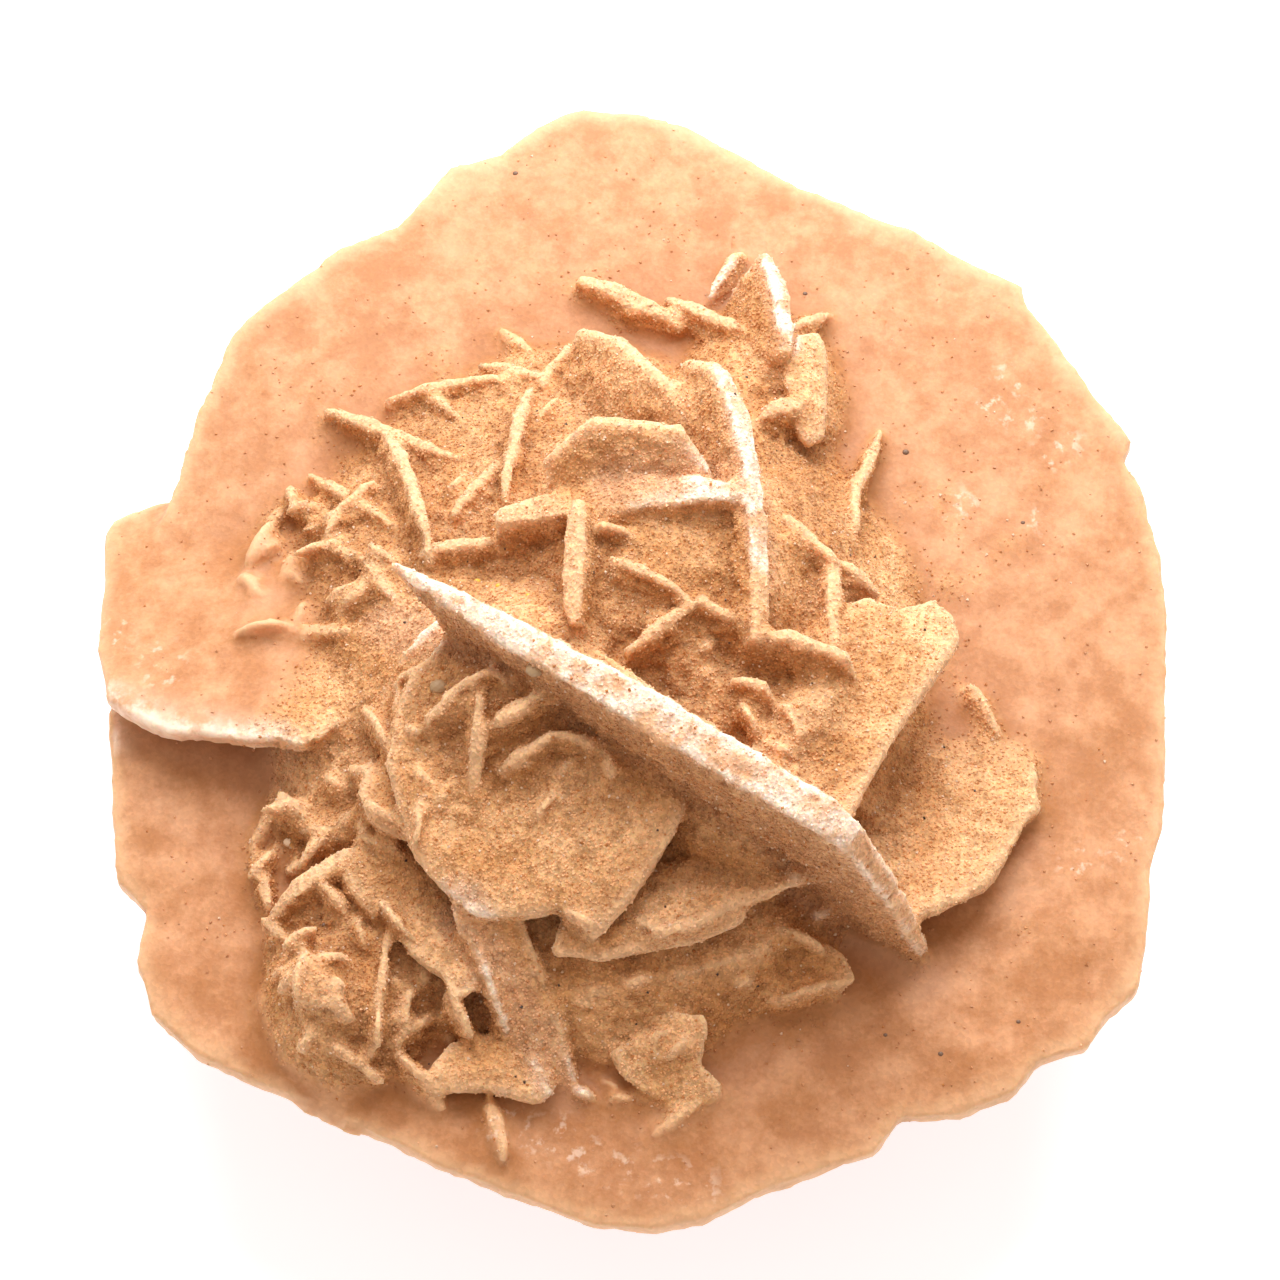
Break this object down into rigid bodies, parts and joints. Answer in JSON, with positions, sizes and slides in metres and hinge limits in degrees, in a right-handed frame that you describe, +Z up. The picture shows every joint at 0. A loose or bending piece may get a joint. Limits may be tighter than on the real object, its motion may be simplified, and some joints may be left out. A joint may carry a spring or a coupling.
{
  "type": "gypsum sand rose",
  "caption": "Free-standing sand rose: one broad gypsum blade with a sandy cluster of small lens-shaped blades grown through it above and below.",
  "frame": {"origin": "under the middle of the rose, on the plane it rests on", "axes": "+Z up from the flat broken underside, with the broad blade lying level; +X east, along the broad blade's shorter side; +Y north, away from the side where the tall crest blade shows its face"},
  "size_m": [0.0506, 0.0578, 0.0262],
  "materials": {
    "sandy_gypsum": "dry, grainy sand-filled gypsum, tan to orange-brown, with paler frosted rims and a few waxy, slightly translucent broad faces"
  },
  "bodies": {
    "root": {"sand_rose": "sandy_gypsum"}
  },
  "joints": []
}
